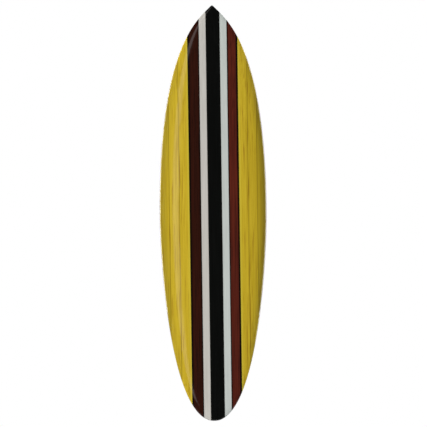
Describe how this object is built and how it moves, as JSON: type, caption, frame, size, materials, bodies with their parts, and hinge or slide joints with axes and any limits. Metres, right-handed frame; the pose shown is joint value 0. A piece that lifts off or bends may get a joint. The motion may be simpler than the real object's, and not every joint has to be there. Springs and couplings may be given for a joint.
{
  "type": "surfboard",
  "caption": "Pointed-nose, round-tailed single-fin surfboard glued up from full-thickness wooden planks, with a fin that slides in a flush slotted box.",
  "frame": {"origin": "on the bottom's centreline at half the board's length, where the rocker is lowest and a rack cradles the board", "axes": "+Z along the board towards the nose, +X to the right for someone who faces the deck, -Y out of the deck and +Y out of the bottom, where the fin is"},
  "size_m": [0.499, 0.3142, 1.93],
  "materials": {
    "black_plank": "black stained wood under a clear gloss coat",
    "white_plank": "white stained wood under a clear gloss coat",
    "redwood_plank": "dark red-brown wood under a clear gloss coat",
    "dark_stringer": "near-black hardwood strip under a clear gloss coat",
    "yellow_plank": "yellow stained wood with lengthwise grain under a clear gloss coat",
    "box_plastic": "moulded, sanded flush",
    "fin_wood": "laminated wood strips under a clear gloss coat",
    "fin_resin": "clear amber resin, polished",
    "fin_tab": "sanded glass-fibre laminate",
    "brass_pin": "drawn",
    "brass_insert": "turned",
    "steel_screw": "passivated stainless steel",
    "steel_plate": "passivated stainless steel",
    "rubber_ring": "smooth black"
  },
  "bodies": {
    "board": {"centre_plank": "black_plank", "white_plank_left": "white_plank", "inner_stringer_left": "dark_stringer", "redwood_plank_left": "redwood_plank", "outer_stringer_left": "dark_stringer", "yellow_plank_inner_left": "yellow_plank", "yellow_plank_middle_left": "yellow_plank", "rail_plank_left": "yellow_plank", "white_plank_right": "white_plank", "inner_stringer_right": "dark_stringer", "redwood_plank_right": "redwood_plank", "outer_stringer_right": "dark_stringer", "yellow_plank_inner_right": "yellow_plank", "yellow_plank_middle_right": "yellow_plank", "rail_plank_right": "yellow_plank", "fin_box": "box_plastic", "leash_pin": "brass_pin", "vent_insert": "brass_insert"},
    "fin": {"fin_core": "fin_wood", "fin_resin_edge": "fin_resin", "fin_tab": "fin_tab", "fin_roll_pin": "brass_pin"},
    "fin_screw": {"fin_screw": "steel_screw"},
    "fin_plate": {"fin_plate": "steel_plate"},
    "vent_ring": {"vent_oring": "rubber_ring"},
    "vent_screw": {"vent_screw": "brass_insert"}
  },
  "joints": [
    {"name": "fin_slide", "type": "slide", "parent": "board", "child": "fin", "axis": [0, 0.0655, 0.9979], "range_m": [-0.025, 0.046]},
    {"name": "fin_screw_turn", "type": "hinge", "parent": "fin", "child": "fin_screw", "pos_m": [0, -0.01868, -0.59242], "axis": [0, 0.9979, -0.0655], "range_deg": [0, 720]},
    {"name": "fin_plate_drop", "type": "slide", "parent": "fin", "child": "fin_plate", "axis": [0, -0.9979, 0.0655], "range_m": [0, 0.0014]},
    {"name": "vent_lift", "type": "slide", "parent": "board", "child": "vent_ring", "axis": [0, 0.9993, -0.0387], "range_m": [0, 0.005]},
    {"name": "vent_screw_turn", "type": "hinge", "parent": "vent_ring", "child": "vent_screw", "pos_m": [0, -0.00753, -0.42814], "axis": [0, 0.9993, -0.0387], "range_deg": [0, 1800]}
  ],
  "couplings": [
    {"joint": "fin_screw_turn", "follows": "fin_plate_drop", "rad_per_m": 8976},
    {"joint": "vent_screw_turn", "follows": "vent_lift", "rad_per_m": 6283.2}
  ]
}
